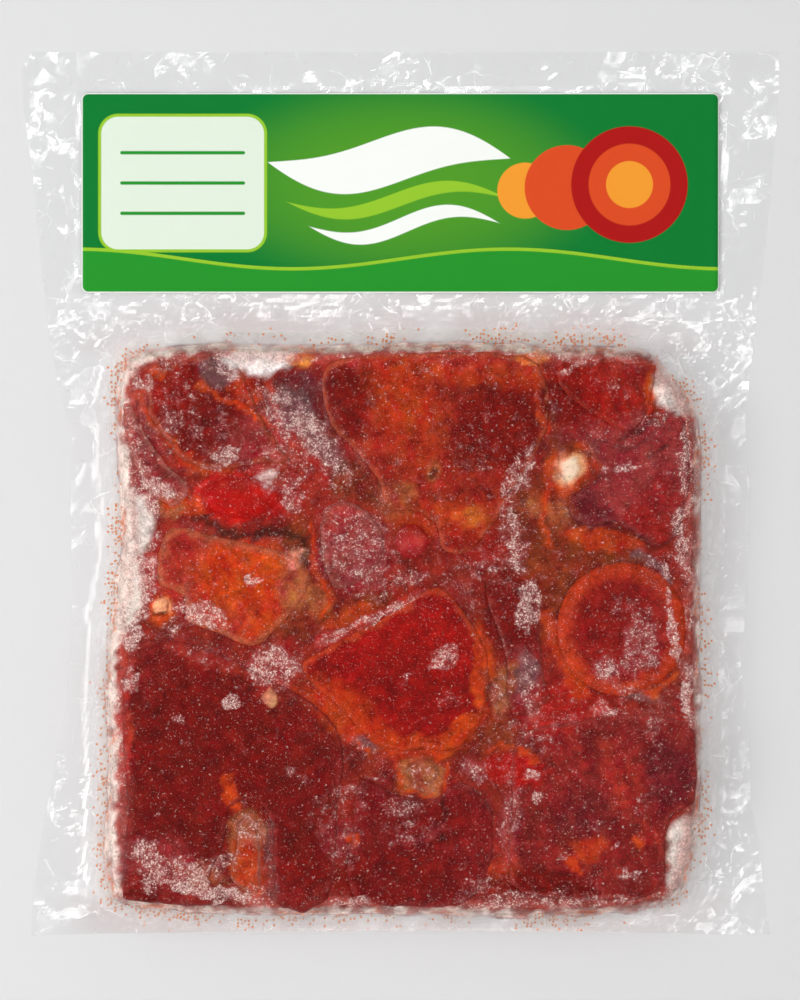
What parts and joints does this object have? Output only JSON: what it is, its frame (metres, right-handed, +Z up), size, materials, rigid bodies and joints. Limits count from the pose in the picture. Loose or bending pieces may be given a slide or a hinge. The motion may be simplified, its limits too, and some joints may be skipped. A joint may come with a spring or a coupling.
{
  "type": "flat vacuum pouch of frozen gac flesh",
  "caption": "Flat clear vacuum pouch of frozen gac fruit flesh: a slab of red pieces in frozen juice, sealed in crumpled film with a bare green header label.",
  "frame": {"origin": "middle of the underside of the pouch, on the surface it lies on", "axes": "+X across the pouch to the right, +Y up towards the label, +Z up through its thickness"},
  "size_m": [0.2, 0.2333, 0.0151],
  "materials": {
    "clear_film": "clear, glossy, crumpled",
    "printed_label": "coated green print, no words",
    "frozen_juice": "icy red-brown juice with frost",
    "frozen_flesh": "deep red frozen flesh, frosted",
    "orange_rind": "orange fibrous rind and pulp",
    "red_aril": "bright red, moist",
    "pale_seed": "pale, smooth"
  },
  "bodies": {
    "root": {"film_back": "clear_film", "film_front": "clear_film", "label": "printed_label", "frozen_bed": "frozen_juice", "flesh_clump_top_left": "frozen_flesh", "flesh_clump_left_edge": "frozen_flesh", "flesh_lobe_top_centre": "frozen_flesh", "flesh_wedge_top_right": "frozen_flesh", "flesh_lump_right": "frozen_flesh", "flesh_slab_left": "frozen_flesh", "flesh_lump_centre": "frozen_flesh", "flesh_wedge_centre": "frozen_flesh", "flesh_piece_mid_right": "frozen_flesh", "flesh_bottom_left": "frozen_flesh", "flesh_bottom_middle": "frozen_flesh", "flesh_bottom_right": "frozen_flesh", "flesh_slice_right": "frozen_flesh", "rind_strip": "orange_rind", "pulp_knot": "orange_rind", "aril_left": "red_aril", "aril_centre": "red_aril", "seed_pale": "pale_seed", "seed_left": "orange_rind"}
  },
  "joints": []
}
